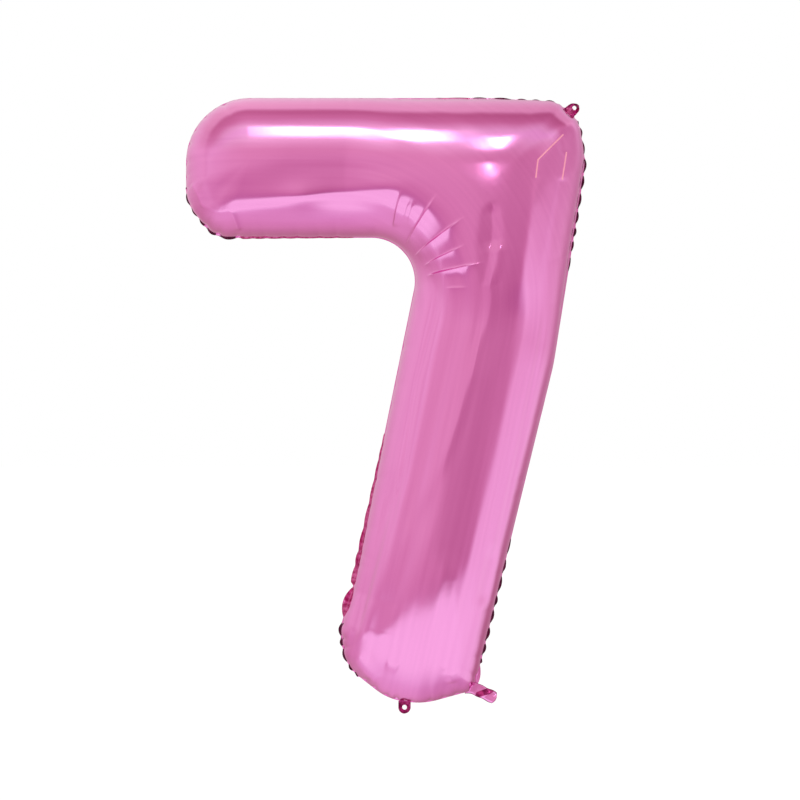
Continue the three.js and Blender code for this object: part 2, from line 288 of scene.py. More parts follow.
def stroke_stretch(which, t):
    """Crown point, rib direction and half depth at shares t of the arm (0), elbow (1) or stem (2)."""
    if which == 0:
        crown = np.stack([FAN[0] - ARM_LENGTH * (1 - t), FAN[1] + CROWN_RADIUS + 0 * t], 1)
        return crown, np.tile([0.0, 1.0], (len(t), 1)), np.full(len(t), HALF_DEPTH)
    if which == 1:
        angle = math.pi / 2 - STEM_TURN * t
        swell = np.sin(math.pi * t) ** 3
        rib = np.stack([np.cos(angle), np.sin(angle)], 1)
        crown = FAN + rib * (CROWN_RADIUS + CROWN_PUSH * swell)[:, None]
        return crown, rib, HALF_DEPTH + ELBOW_SWELL * swell
    crown = FAN + STEM_OUT * CROWN_RADIUS + STEM_DOWN * (STEM_LENGTH * t)[:, None]
    return crown, np.tile(STEM_OUT, (len(t), 1)), np.full(len(t), HALF_DEPTH)


def end_cap(end, sign, t):
    """The ribs that fan out round one end of the stroke."""
    crown, rib, depth = end
    angle = math.atan2(rib[0, 1], rib[0, 0]) - math.pi * t
    fan = sign * np.stack([np.cos(angle), np.sin(angle)], 1)
    return np.tile(crown, (len(t), 1)), fan, np.tile(depth, len(t))


def stations(count):
    """Crown point, rib direction and half depth once round the seam."""
    lengths = np.array([ARM_LENGTH, STEM_TURN * CROWN_RADIUS, STEM_LENGTH])
    shares = np.r_[lengths, CAP_SHARE, lengths[::-1], CAP_SHARE]
    numbers = np.maximum(8, (count * shares / shares.sum()).astype(int))
    along = [np.linspace(0, 1, n, endpoint=False) for n in numbers]
    stretches = [stroke_stretch(which, along[which]) for which in (0, 1, 2)]
    stretches.append(end_cap(stroke_stretch(2, np.array([1.0])), 1, along[3]))
    for slot, which in ((4, 2), (5, 1), (6, 0)):
        crown, rib, depth = stroke_stretch(which, 1 - along[slot])
        stretches.append((crown, -rib, depth))
    stretches.append(end_cap(stroke_stretch(0, np.array([0.0])), -1, along[7]))
    return [np.concatenate(values) for values in zip(*stretches)]


def cast(crowns, ribs):
    """Distance along the seam where each rib meets it."""
    a, edge = SEAM[:-1], np.diff(SEAM, axis=0)
    runs = np.empty(len(crowns))
    for i, (crown, rib) in enumerate(zip(crowns, ribs)):
        across = rib[0] * edge[:, 1] - rib[1] * edge[:, 0]
        offset = a - crown
        far = (offset[:, 0] * edge[:, 1] - offset[:, 1] * edge[:, 0]) / (across + 1e-18)
        share = (offset[:, 0] * rib[1] - offset[:, 1] * rib[0]) / (across + 1e-18)
        ok = (far > 0) & (share >= -1e-6) & (share <= 1 + 1e-6)
        k = np.nonzero(ok)[0][np.argmin(far[ok])]
        runs[i] = SEAM_RUN[k] + np.clip(share[k], 0, 1) * (SEAM_RUN[k + 1] - SEAM_RUN[k])
    return runs


def make_columns():
    """Columns spaced along the seam, closer together in the inner bend, each with its crown point."""
    crowns, ribs, depths = stations(STATIONS)
    runs = np.unwrap(cast(crowns, ribs), period=SEAM_LENGTH)
    runs = np.maximum.accumulate(runs)
    start = runs[0]
    runs = np.r_[runs, start + SEAM_LENGTH]
    order = np.arange(len(runs))
    wanted = np.linspace(start, start + SEAM_LENGTH, 6000)
    density = 1 + BEND_CROWDING * np.clip(-at_run(SEAM_BEND, wanted) * 0.1, 0, 1)
    share = np.r_[0, np.cumsum((density[1:] + density[:-1]) / 2)]
    even = np.linspace(0, share[-1], COLUMNS, endpoint=False)
    run = np.interp(even, share, wanted)
    keep = np.r_[True, np.diff(runs) > 1e-7]
    place = np.interp(run, runs[keep], order[keep])

    def pick(values):
        """The stations' values at each column."""
        closed = np.concatenate([values, values[:1]])
        if closed.ndim == 1:
            return np.interp(place, order, closed)
        return np.stack([np.interp(place, order, closed[:, k]) for k in range(closed.shape[1])], 1)

    run = run % SEAM_LENGTH
    seam = np.stack([np.interp(run, SEAM_RUN, SEAM[:, k]) for k in (0, 1)], 1)
    ahead = np.roll(seam, -1, 0) - np.roll(seam, 1, 0)
    normal = np.stack([-ahead[:, 1], ahead[:, 0]], 1)
    normal /= np.linalg.norm(normal, axis=1)[:, None]
    return {"run": run, "seam": seam, "out": normal, "crown": pick(crowns), "depth": pick(depths)}


# ---- Places along the stroke ----

def stroke_place(flat):
    """How far along the figure's stroke each point lies, and how far outside its crown line."""
    offset = flat - FAN
    angle = np.arctan2(offset[..., 1], offset[..., 0])
    along = (math.pi / 2 - angle) * CROWN_RADIUS
    across = np.linalg.norm(offset, axis=-1) - CROWN_RADIUS
    arm = offset[..., 0] < 0
    along = np.where(arm, offset[..., 0], along)
    across = np.where(arm, offset[..., 1] - CROWN_RADIUS, across)
    stem = offset @ STEM_DOWN > 0
    along = np.where(stem, STEM_TURN * CROWN_RADIUS + offset @ STEM_DOWN, along)
    across = np.where(stem, offset @ STEM_OUT - CROWN_RADIUS, across)
    return along, across


def smooth_step(values):
    """Eases from 0 to 1 as the values go from 0 to 1."""
    values = np.clip(values, 0, 1)
    return values * values * (3 - 2 * values)


def end_rounding(along, across):
    """The stroke gets shallower towards its two ends, sooner on the inner side of the foot."""
    stem_end = STEM_TURN * CROWN_RADIUS + STEM_LENGTH
    along = along - FOOT_SKEW * across
    low = np.clip((along - stem_end + STEM_TAPER) / (STEM_TAPER + STEM_TAPER_PAST), 0, 1.1)
    left = np.clip((-along - ARM_LENGTH + ARM_TAPER) / ARM_TAPER_LENGTH, 0, 1.1)
    return 1 - STEM_END_DROP * low ** 2 - ARM_END_DROP * left ** 2


def side_fullness(distance):
    """Share of the full depth at a distance in from a straight side."""
    return np.sqrt(1 - np.clip(1 - distance / SIDE_HALF, 0, 1) ** 2)


def mitred_height(flat, height):
    """Round the outer corner the arm and the stem meet in a soft mitre, as two crossing tubes do."""
    side = np.array(RIGHT_SIDE[1]) - RIGHT_SIDE[0]
    side = side / np.linalg.norm(side)
    inward = np.array([side[1], -side[0]])
    lack_top = 1 - side_fullness(TOP_SIDE - flat[..., 1])
    lack_right = 1 - side_fullness((flat - RIGHT_SIDE[0]) @ inward)
    lack = np.clip(lack_top ** MITRE_SOFTNESS + lack_right ** MITRE_SOFTNESS, 0, 1)
    full = 1 - lack ** (1 / MITRE_SOFTNESS)
    offset = flat - FAN
    angle = np.arctan2(offset[..., 1], offset[..., 0])
    share = smooth_step((math.pi / 2 - angle) / 0.35) * smooth_step((angle + STEM_LEAN) / 0.5)
    share = share * smooth_step(np.linalg.norm(offset, axis=-1) / CROWN_RADIUS * 2.2 - 1.3)
    depth = HALF_DEPTH + ELBOW_SWELL * 0.7
    mitre = np.maximum(depth * full, 1e-5)
    steep = np.maximum(1.6 * height, 1e-5)
    joined = (mitre ** -JOIN_POWER + steep ** -JOIN_POWER) ** (-1 / JOIN_POWER)
    return height + (joined - height) * MITRE_SHARE * share


# ---- Puckers ----

def pucker_cells():
    """Pinch points round the seam. They crowd together on the caps and the outer corner."""
    places = [0.0]
    while places[-1] < SEAM_LENGTH - 0.03:
        slack = float(np.clip(at_run(SEAM_BEND, places[-1]) * 0.085, 0, 1))
        length = (PUCKER_LENGTH - PUCKER_CROWDING * slack) * rng.uniform(0.68, 1.35)
        places.append(places[-1] + length)
    return np.array(places + [SEAM_LENGTH])


def pucker_field(run):
    """Cell edges, each column's cell, phase in it and slackness, and each pinch's random traits."""
    edges = pucker_cells()
    cell = np.clip(np.searchsorted(edges, run, side="right") - 1, 0, len(edges) - 2)
    phase = (run - edges[cell]) / (edges[cell + 1] - edges[cell])
    bend = at_run(SEAM_BEND, run)
    slack = np.clip(0.30 + 0.06 * bend, 0, 1.0)
    slack *= 1 - np.clip(-bend * 0.14, 0, 1)
    count = len(edges)
    return {
        "edges": edges,
        "cell": cell,
        "phase": phase,
        "slack": slack,
        "depth": rng.uniform(0.35, 1.2, count),
        "reach": rng.uniform(0.008, 0.026, count) + DEEP_REACH * (rng.random(count) > 0.8),
        "lean": rng.normal(0, 0.10, count),
        "wave": rng.uniform(-1, 1, count),
    }


def pinches(run, away, field, side):
    """Depth of the pinched valleys over the panel: one at each cell edge, dying away inwards."""
    edges, slack = field["edges"], field["slack"]
    depth = np.zeros(away.shape)
    for k in range(len(edges) - 1):
        reach = field["reach"][k] * (1 + 0.25 * side * field["wave"][k])
        local = (run - edges[k] + SEAM_LENGTH / 2) % SEAM_LENGTH - SEAM_LENGTH / 2
        near = np.abs(local) < PINCH_SPREAD
        if not near.any():
            continue
        d = away[near]
        across = local[near][:, None] - field["lean"][k] * side * d
        width = PINCH_WIDTH + PINCH_FLARE * d
        sharp = np.exp(-np.abs(across) / width) * np.exp(-d / reach)
        depth[near] += field["depth"][k] * sharp * slack[near][:, None]
    return depth


# ---- Folds and creases of the panels ----

def segment_place(points, a, b):
    """Share of the way from a to b, and signed distance to the left of that line."""
    a, b = np.array(a), np.array(b)
    length = np.linalg.norm(b - a)
    along = (b - a) / length
    offset = points - a
    return offset @ along / length, offset @ np.array([-along[1], along[0]])


def bend_creases(points, side):
    """Crisp creases that fan out of the inner bend: one flank steep, the other a soft shoulder."""
    total = np.zeros(points.shape[:-1])
    for start, end, size in BEND_CREASES:
        if side > 0:
            swing = rng.uniform(-0.006, 0.006, 2)
            start, end = np.array(start) + swing * 0.3, np.array(end) + swing
        t, off = segment_place(points, start, end)
        fade = smooth_step(t * 5 + 0.4) * smooth_step((1.06 - t) * 2.2)
        steep = np.exp(-np.abs(off) / CREASE_STEEP)
        gentle = np.exp(-np.abs(off) / CREASE_GENTLE)
        total += CREASE_RISE * size * fade * np.where(off > 0, steep, gentle)
    return total


def kinks(points, lines):
    """Ridges where flat facets of slack foil meet."""
    total = np.zeros(points.shape[:-1])
    for start, end, height, width in lines:
        t, off = segment_place(points, start, end)
        fade = smooth_step(t * 6 + 0.5) * smooth_step((1 - t) * 6 + 0.5)
        total += height * fade * np.exp(-np.abs(off) / width)
    return total


def long_folds(points, folds):
    """Soft valleys and swellings along straight lines."""
    total = np.zeros(points.shape[:-1])
    for start, end, wide_start, wide_end, height in folds:
        t, off = segment_place(points, start, end)
        width = wide_start + (wide_end - wide_start) * np.clip(t, 0, 1)
        fade = smooth_step(t * 3.2 + 0.3) * smooth_step((1 - t) * 3.2 + 0.3)
        total += height * fade * np.exp(-(off / width) ** 2)
    return total


def stroke_folds(along, across):
    """Soft valleys and swellings that follow the stroke."""
    total = np.zeros(along.shape)
    for path, width, height in STROKE_FOLDS:
        places = np.array(path)
        off = across - np.interp(along, places[:, 0], places[:, 1])
        fade = smooth_step((along - places[0, 0]) / 0.05) * smooth_step((places[-1, 0] - along) / 0.09)
        total += height * fade * np.exp(-(off / width) ** 2)
    return total


def ripples(along, across):
    """Faint waves that run the length of the stroke, strongest on the inner half of its elbow."""
    waves = np.zeros(along.shape)
    for k, length in enumerate(RIPPLE_LENGTHS):
        phase, drift, _, start = rng.uniform(0, 2 * math.pi, 4)
        strength = 0.55 + 0.45 * np.sin(along * (9 + 5 * k) + start)
        bend = 0.006 * np.sin(along * 7 + drift)
        waves += strength * length * np.sin(2 * math.pi * (across + bend) / length + phase)
    elbow = np.exp(-((along - 0.20) / 0.20) ** 2)
    stem = smooth_step((along - 0.25) / 0.15)
    share = 0.25 + 0.45 * elbow * smooth_step(0.5 - across / 0.08) + 0.55 * stem
    return RIPPLE_SLOPE * share * waves


# ---- Sealed margin ----

def seam_run_at(place):
    """Distance along the seam of its point nearest to a place."""
    return SEAM_RUN[np.argmin(np.linalg.norm(SEAM - np.array(place), axis=1))]


def margin_width(run, phase):
    """Width of the margin at each column, and which look it has: 0 film, 1 dark painted shade, 2 crimson
    painted reflection with painted highlights.
    """
    width = np.full(len(run), MARGIN_TAUT)
    look = np.zeros(len(run), int)
    lens = np.clip(1.35 * np.abs(np.sin(math.pi * phase)) ** 0.75 - 0.35, 0, 1)
    for start, end, wide_start, wide_end, kind in MARGIN_STRETCHES:
        first = seam_run_at(start)
        length = (seam_run_at(end) - first) % SEAM_LENGTH
        t = ((run - first) % SEAM_LENGTH) / length
        inside = t <= 1
        wide = wide_start + (wide_end - wide_start) * t
        ends = np.clip(np.minimum(t, 1 - t) * length / MARGIN_ENDS, 0, 1)
        if kind == "dashes":
            shown = wide * lens
        elif kind == "frill":
            shown = wide * (0.72 + 0.28 * lens) * ends
        else:
            shown = wide * np.sin(math.pi * np.clip(t, 0, 1)) ** 0.7
        width = np.where(inside, np.maximum(shown, MARGIN_TAUT), width)
        look = np.where(inside & (shown > 1.15 * MARGIN_TAUT), MARGIN_LOOKS[kind], look)
    return width, look


# ---- Panels ----

def dome(columns):
    """The smooth panel: places in the seam's plane, height, distance from the seam, and normal."""
    seam, span = columns["seam"], columns["crown"] - columns["seam"]
    angle = np.linspace(0, 1, ROWS) ** ROW_CROWDING * math.pi / 2
    flat = seam[:, None] + span[:, None] * (1 - np.cos(angle))[None, :, None]
    height = columns["depth"][:, None] * np.sin(angle)[None]
    height = mitred_height(flat, height) * end_rounding(*stroke_place(flat))
    length = np.linalg.norm(span, axis=1)[:, None]
    # distance from the seam along the foil, close enough for the puckers' reach
    away = np.sqrt((length * (1 - np.cos(angle))) ** 2 + height ** 2)
    inward = span / length
    normal_out = -np.cos(angle)[None, :, None] * inward[:, None] * columns["depth"][:, None, None]
    normal_up = np.sin(angle)[None] * length
    size = np.sqrt((normal_out ** 2).sum(-1) + normal_up ** 2)
    return flat, height, away, normal_out / size[..., None], normal_up / size


def relief(side, flat, away, run, field):
    """How far the foil stands off the smooth panel: pinches, puckers, creases, ripples and folds."""
    along, across = stroke_place(flat)
    rise = np.linspace(0, 1, ROWS) ** ROW_CROWDING
    near_seam = 1 - smooth_step((rise[None] - 0.25) / 0.45)
    move = -PINCH_DEPTH * pinches(run, away, field, side) * near_seam
    lobe = np.abs(np.sin(math.pi * field["phase"])) ** 0.7
    move += (PUCKER_SWELL * field["slack"] * (lobe - 0.4))[:, None] * np.exp(-away / 0.012)
    move += bend_creases(flat, side)
    settled = smooth_step(away / 0.03)
    move += ripples(along, across) * settled
    if side < 0:
        move += kinks(flat, CORNER_KINKS + ARM_KINKS)
        move += (long_folds(flat, FRONT_FOLDS) + stroke_folds(along, across)) * settled
    else:
        move += long_folds(flat, BACK_FOLDS) * settled
    return move * np.clip(away / 0.002, 0, 1)


def panel_points(side, columns, field):
    """Grid of points, [column][row], from the outer edge of the sealed margin to the crown."""
    flat, height, away, normal_out, normal_up = dome(columns)
    move = relief(side, flat, away, columns["run"], field)
    flat = flat + normal_out * move[..., None]
    height = height + normal_up * move

    # The sealed margin shows as bowed lengths between pinch points and waves from front to back.
    phase = field["phase"]
    wide, look = margin_width(columns["run"], phase)
    wave = 0.35 * wide * np.sin(math.pi * phase) * field["wave"][field["cell"]]
    t = np.linspace(1, 0, FLANGE_ROWS, endpoint=False)
    margin = columns["seam"][:, None] + columns["out"][:, None] * (wide[:, None] * t[None])[..., None]
    sway = wave[:, None] * t[None] ** 1.2
    flat = np.concatenate([margin, flat], 1)
    base = side * LIP_GAP
    y = np.concatenate([base + sway, base + side * height], 1)
    film = np.stack(stroke_place(flat), -1)
    return np.stack([flat[..., 0], y, flat[..., 1]], -1), film, look


def grid_mesh(name, points, closed, material, flip=False):
    """A mesh over a grid of points. The columns may close into a ring."""
    columns, rows = points.shape[:2]
    index = np.arange(columns * rows).reshape(columns, rows)
    after = np.roll(index, -1, 0) if closed else index[1:]
    here = index if closed else index[:-1]
    quads = np.stack([here[:, :-1], here[:, 1:], after[:, 1:], after[:, :-1]], -1).reshape(-1, 4)
    if flip:
        quads = quads[:, ::-1]
    mesh = bpy.data.meshes.new(name)
    mesh.from_pydata(points.reshape(-1, 3).tolist(), [], quads.tolist())
    mesh.polygons.foreach_set("use_smooth", [True] * len(mesh.polygons))
    mesh.materials.append(material)
    mesh.update()
    piece = bpy.data.objects.new(name, mesh)
    bpy.context.scene.collection.objects.link(piece)
    return piece


def make_panel(name, side, node, columns, field, materials):
    """One foil panel with its half of the sealed margin. It keeps each point's place on the stroke."""
    foil, margin, frill = materials
    points, film_place, look = panel_points(side, columns, field)
    panel = grid_mesh(name, points, True, foil, flip=side < 0)
    panel.data.materials.append(margin)
    panel.data.materials.append(frill)
    strip = np.zeros((COLUMNS, ROWS + FLANGE_ROWS - 1), int)
    strip[:, :FLANGE_ROWS] = look[:, None]
    panel.data.polygons.foreach_set("material_index", strip.ravel().tolist())
    place = panel.data.attributes.new("stroke", "FLOAT_VECTOR", "POINT")
    place.data.foreach_set("vector", np.dstack([film_place, points[..., 1:2]]).ravel())
    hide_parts(node)
    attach(panel, "balloon")


# ---- Shader nodes ----

def math_node(tree, operation, *values):
    """A Math node. Each value is a number or the socket that feeds it."""
    node = tree.nodes.new("ShaderNodeMath")
    node.operation = operation
    for slot, value in enumerate(values):
        if isinstance(value, (int, float)):
            node.inputs[slot].default_value = value
        else:
            tree.links.new(value, node.inputs[slot])
    return node.outputs[0]


def ramp_node(tree, source, stops):
    """A smooth ramp from the places and colours in stops."""
    node = tree.nodes.new("ShaderNodeValToRGB")
    node.color_ramp.interpolation = "CARDINAL"
    elements = node.color_ramp.elements
    while len(elements) < len(stops):
        elements.new(0.5)
    for element, (place, colour) in zip(elements, stops):
        element.position = place
        element.color = (*colour, 1)
    tree.links.new(source, node.inputs["Fac"])
    return node.outputs["Color"]


def mix_node(tree, blend, factor, first, second):
    """Blends two colours. Each is a colour or the socket that feeds it."""
    node = tree.nodes.new("ShaderNodeMix")
    node.data_type = "RGBA"
    node.blend_type = blend
    for slot, value in ((0, factor), (6, first), (7, second)):
        if isinstance(value, (int, float)):
            node.inputs[slot].default_value = value
        elif isinstance(value, tuple):
            node.inputs[slot].default_value = (*value, 1)
        else:
            tree.links.new(value, node.inputs[slot])
    return node.outputs[2]


# ---- Materials ----

def new_material(name):
    """A material, its node tree and its main shader."""
    material = bpy.data.materials.new(name)
    material.use_nodes = True
    shader = material.node_tree.nodes["Principled BSDF"]
    return material, material.node_tree, shader


def add_bump(tree, shader, layers):
    """Stacks noise bumps, (scale, detail, strength, distance) for each. Returns their coordinates."""
    coords = tree.nodes.new("ShaderNodeTexCoord")
    normal = None
    for scale, detail, strength, distance in layers:
        noise = tree.nodes.new("ShaderNodeTexNoise")
        noise.inputs["Scale"].default_value = scale
        noise.inputs["Detail"].default_value = detail
        bump = tree.nodes.new("ShaderNodeBump")
        bump.inputs["Strength"].default_value = strength
        bump.inputs["Distance"].default_value = distance
        tree.links.new(coords.outputs["Object"], noise.inputs["Vector"])
        tree.links.new(noise.outputs["Fac"], bump.inputs["Height"])
        if normal:
            tree.links.new(normal, bump.inputs["Normal"])
        normal = bump.outputs["Normal"]
    tree.links.new(normal, shader.inputs["Normal"])
    return coords


def noise_of(tree, coords, scale):
    """Noise over the piece."""
    noise = tree.nodes.new("ShaderNodeTexNoise")
    noise.inputs["Scale"].default_value = scale
    noise.inputs["Detail"].default_value = 3
    tree.links.new(coords.outputs["Object"], noise.inputs["Vector"])
    return noise.outputs["Fac"]


def tinted(tree, shader, source, dark, light):
    """Colours the shader between two tints by a noise."""
    ramp = tree.nodes.new("ShaderNodeValToRGB")
    ramp.color_ramp.elements[0].position = 0.35
    ramp.color_ramp.elements[0].color = (*dark, 1)
    ramp.color_ramp.elements[1].position = 0.68
    ramp.color_ramp.elements[1].color = (*light, 1)
    tree.links.new(source, ramp.inputs["Fac"])
    tree.links.new(ramp.outputs["Color"], shader.inputs["Base Color"])


FOIL_DEEP = (0.905, 0.338, 0.715)
FOIL_BRIGHT = (0.935, 0.362, 0.745)
# Painted highlight: the coral of the lines along the corner kinks, and how wide they are.
KINK_HIGHLIGHT_COLOUR = (1.0, 0.36, 0.42)
KINK_HIGHLIGHT_WIDTH = 0.0015
STREAK_SCALE = (5, 150, 0)  # long along the stroke and fine across it


def near_segment(tree, coords, start, end, width):
    """A factor that is 1 on a line in the seam's plane, at any depth, and falls to 0 beside it."""
    def vector_node(operation, *values):
        """A Vector Math node. Each value is a vector or the socket that feeds it."""
        node = tree.nodes.new("ShaderNodeVectorMath")
        node.operation = operation
        for slot, value in enumerate(values):
            if isinstance(value, tuple):
                node.inputs[slot].default_value = value
            else:
                tree.links.new(value, node.inputs[slot])
        return node

    run = (end[0] - start[0], 0.0, end[1] - start[1])
    flat = vector_node("MULTIPLY", coords.outputs["Object"], (1.0, 0.0, 1.0)).outputs["Vector"]
    offset = vector_node("SUBTRACT", flat, (start[0], 0.0, start[1])).outputs["Vector"]
    along = vector_node("DOT_PRODUCT", offset, run).outputs["Value"]
    share = math_node(tree, "DIVIDE", along, run[0] ** 2 + run[2] ** 2)
    share = math_node(tree, "MINIMUM", math_node(tree, "MAXIMUM", share, 0.0), 1.0)
    foot = vector_node("SCALE", run)
    tree.links.new(share, foot.inputs["Scale"])
    away = vector_node("DISTANCE", offset, foot.outputs["Vector"]).outputs["Value"]
    near = math_node(tree, "SUBTRACT", 1.0, math_node(tree, "DIVIDE", away, width))
    return math_node(tree, "MAXIMUM", near, 0.0)


def painted_kink_highlights(tree, shader, coords):
    """Paints the outer corner's kinks as thin coral lines of painted highlight, by taking the foil's
    metal away there, on the front only.
    """
    total = 0.0
    for start, end, _, _ in CORNER_KINKS:
        line = near_segment(tree, coords, start, end, KINK_HIGHLIGHT_WIDTH)
        total = math_node(tree, "MAXIMUM", line, total)
    split = tree.nodes.new("ShaderNodeSeparateXYZ")
    tree.links.new(coords.outputs["Object"], split.inputs[0])
    # The painted highlight lines go on the front half only.
    in_front = math_node(tree, "LESS_THAN", split.outputs["Y"], 0.0)
    share = math_node(tree, "MULTIPLY", math_node(tree, "POWER", total, 0.7), in_front)
    tree.links.new(math_node(tree, "SUBTRACT", 1.0, share), shader.inputs["Metallic"])
    plain = shader.inputs["Base Color"].links[0].from_socket
    mixed = mix_node(tree, "MIX", share, plain, KINK_HIGHLIGHT_COLOUR)
    tree.links.new(mixed, shader.inputs["Base Color"])


def foil_material():
    """Bright metallised film: pink metal under a clear skin, in faint streaks along the stroke, with
    painted highlights on the corner kinks.
    """
    material, tree, shader = new_material("pink_foil")
    shader.inputs["Metallic"].default_value = 1
    shader.inputs["Roughness"].default_value = 0.15
    shader.inputs["Coat Weight"].default_value = 0.25
    shader.inputs["Coat Roughness"].default_value = 0.05
    coords = add_bump(tree, shader, [(9, 2, 0.08, 0.006), (60, 3, 0.04, 0.0012)])
    place = tree.nodes.new("ShaderNodeAttribute")
    place.attribute_name = "stroke"
    stretch = tree.nodes.new("ShaderNodeMapping")
    stretch.inputs["Scale"].default_value = STREAK_SCALE
    streaks = tree.nodes.new("ShaderNodeTexNoise")
    streaks.inputs["Scale"].default_value = 1
    streaks.inputs["Detail"].default_value = 3
    tree.links.new(place.outputs["Vector"], stretch.inputs["Vector"])
    tree.links.new(stretch.outputs["Vector"], streaks.inputs["Vector"])
    tinted(tree, shader, streaks.outputs["Fac"], FOIL_DEEP, FOIL_BRIGHT)
    painted_kink_highlights(tree, shader, coords)
    return material


def margin_painted_shade_material():
    """The sealed margin: the same film, doubled and heat-textured; its near-black maroon is painted
    shade.
    """
    material, tree, shader = new_material("sealed_margin_painted_shade")
    shader.inputs["Metallic"].default_value = 1
    shader.inputs["Roughness"].default_value = 0.28
    coords = add_bump(tree, shader, [(240, 2, 0.25, 0.0006), (40, 2, 0.2, 0.002)])
    # Painted shade: near-black maroon in place of the dark room that the margin mirrors.
    tinted(tree, shader, noise_of(tree, coords, 60), (0.07, 0.012, 0.035), (0.17, 0.035, 0.09))
    return material


def frill_painted_light_material():
    """Where the margin bunches up: painted highlights of short bright wrinkles, on a crimson that is
    painted reflection.
    """
    material, tree, shader = new_material("bunched_margin_painted_light")
    shader.inputs["Metallic"].default_value = 1
    shader.inputs["Roughness"].default_value = 0.2
    coords = add_bump(tree, shader, [(170, 2, 0.6, 0.0015)])
    # Painted reflection and painted highlights: dark crimson to bright pink by a fine noise.
    tinted(tree, shader, noise_of(tree, coords, 190), (0.42, 0.03, 0.15), (0.85, 0.24, 0.52))
    return material


def tab_painted_reflection_material():
    """Tabs and the fold in the neck: doubled film whose deep crimson is a painted reflection, marbled by
    painted shade of its creases.
    """
    material, tree, shader = new_material("doubled_film_painted_reflection")
    shader.inputs["Metallic"].default_value = 1
    shader.inputs["Roughness"].default_value = 0.22
    coords = add_bump(tree, shader, [(260, 2, 0.35, 0.0007), (90, 2, 0.3, 0.002)])
    # Painted reflection and painted crease shade: near-black to crimson by a noise.
    tinted(tree, shader, noise_of(tree, coords, 130), (0.15, 0.006, 0.055), (0.66, 0.07, 0.31))
    return material


def film_material():
    """The valve's clear film."""
    material, tree, shader = new_material("clear_valve_film")
    shader.inputs["Roughness"].default_value = 0.22
    shader.inputs["Alpha"].default_value = 0.55
    coords = add_bump(tree, shader, [(120, 3, 0.15, 0.0006)])
    tinted(tree, shader, noise_of(tree, coords, 40), (0.80, 0.79, 0.82), (0.92, 0.91, 0.94))
    return material


def ink_material():
    """The release layer between the valve's films: chalky print."""
    material, tree, shader = new_material("release_ink")
    shader.inputs["Roughness"].default_value = 0.75
    coords = add_bump(tree, shader, [(500, 2, 0.2, 0.0002)])
    tinted(tree, shader, noise_of(tree, coords, 300), (0.86, 0.84, 0.76), (0.95, 0.93, 0.87))
    return material


# ---- Tabs and neck ----

FORWARD = np.array([0, -1.0, 0])
TAB_RADIUS = 0.0086
TAB_REACH = 0.0063  # from the fold to the middle of the hole
TAB_HOLE = 0.0034
TAB_THICKNESS = 0.0006
TAB_CRUMPLE = 0.0006
RIM_ROLL = 0.0005
NECK_LENGTH = 0.031
NECK_ROOT = 0.012  # how far the neck reaches back into the margin
NECK_HALF = 0.0085
NECK_THICKNESS = 0.0004
MOUTH_EDGE = 0.0012


def joint(name):
    """The frame's entry for a joint."""
    return next(j for j in frame["joints"] if j["name"] == name)


def make_tab(name, node, fold, outward, curl, twist, tuck, material):
    """A punched tab that grows out of the margin at its fold, bent towards the front and twisted."""
    around, across = 72, 12
    ring_angles = np.linspace(0, 2 * math.pi, around, endpoint=False)
    ring = np.stack([np.cos(ring_angles), np.sin(ring_angles)], 1)
    rim = ring * TAB_RADIUS
    back = ring[:, 0] < 0
    square = np.clip(-ring[back, 0], 0, 1)
    rim[back, 0] = -(TAB_REACH + tuck) * square ** 0.55
    rim[back, 1] = TAB_RADIUS * np.sign(ring[back, 1]) * np.clip(np.abs(ring[back, 1]) * 1.6, 0, 1)
    t = np.linspace(0, 1, across) ** 0.8
    flat = ring[:, None] * TAB_HOLE * (1 - t)[None, :, None] + rim[:, None] * t[None, :, None]
    along, side = flat[..., 0] + TAB_REACH, flat[..., 1]
    share = np.clip(along / (2 * TAB_REACH), 0, 1)
    turn = curl * share
    lean = twist * share
    crumple = TAB_CRUMPLE * np.sin(side / TAB_RADIUS * 5 + along * 420) * np.clip(along / TAB_REACH, 0, 1)
    rim_roll = RIM_ROLL * t[None] ** 6
    front = along * np.sin(turn) + side * np.sin(lean) + crumple + rim_roll
    width_axis = np.cross(outward, FORWARD)
    points = (
        np.array(fold)
        + (along * np.cos(turn))[..., None] * outward
        + (side * np.cos(lean))[..., None] * width_axis
        + front[..., None] * FORWARD
    )
    piece = grid_mesh(name, points, True, material)
    thicken(piece, TAB_THICKNESS)
    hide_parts(node)
    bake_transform(piece)


def thicken(piece, thickness):
    """Gives a sheet its thickness, half to each side."""
    solid = piece.modifiers.new("thickness", "SOLIDIFY")
    solid.thickness = thickness
    solid.offset = 0


def neck_grid(side, hinge, along, wide):
    """One ply of the fill neck: flat and flared at the margin, arched open at its mouth."""
    x = np.linspace(-NECK_ROOT, NECK_LENGTH, 52)[:, None]
    z = np.linspace(-1, 1, 33)[None]
    open_share = np.clip(x / NECK_LENGTH, 0, 1)
    flare = np.clip(-x / NECK_ROOT, 0, 1) ** 1.5
    half = NECK_HALF + 0.0035 * flare + 0.0004 * np.sin(x * 330)
    bow = (0.0010 + 0.0034 * open_share ** 1.2) * np.sqrt(np.clip(1 - z ** 2, 0, 1))
    diagonal = x / NECK_LENGTH - 0.50 - 0.28 * z
    crease = 0.0011 * np.exp(-np.abs(diagonal) / 0.055) * np.clip(x / 0.004, 0, 1) * (1 - z ** 2)
    mouth = 0.0007 * np.exp(-((x - NECK_LENGTH) / 0.0016) ** 2) * (1 - z ** 2)
    y = side * (0.0003 + bow + mouth) - crease
    curl = 0.0014 * open_share * z
    reach = x * (1 - 0.09 * open_share * z ** 2)
    points = (
        hinge
        + reach[..., None] * along
        + (half * z)[..., None] * wide
        + (y + curl)[..., None] * np.array([0, 1.0, 0])
    )
    # Painted reflection and crease shade go on the band along the diagonal crease and on the rims.
    patch = (diagonal > -0.33) & (diagonal < 0.06) & (x > 0.002)
    rim = (x > NECK_LENGTH - MOUTH_EDGE) | (np.abs(z) > 0.93)
    return points, np.where(patch | rim, 1, 0)  # 1 is the doubled film's painted crimson reflection and painted crease shade
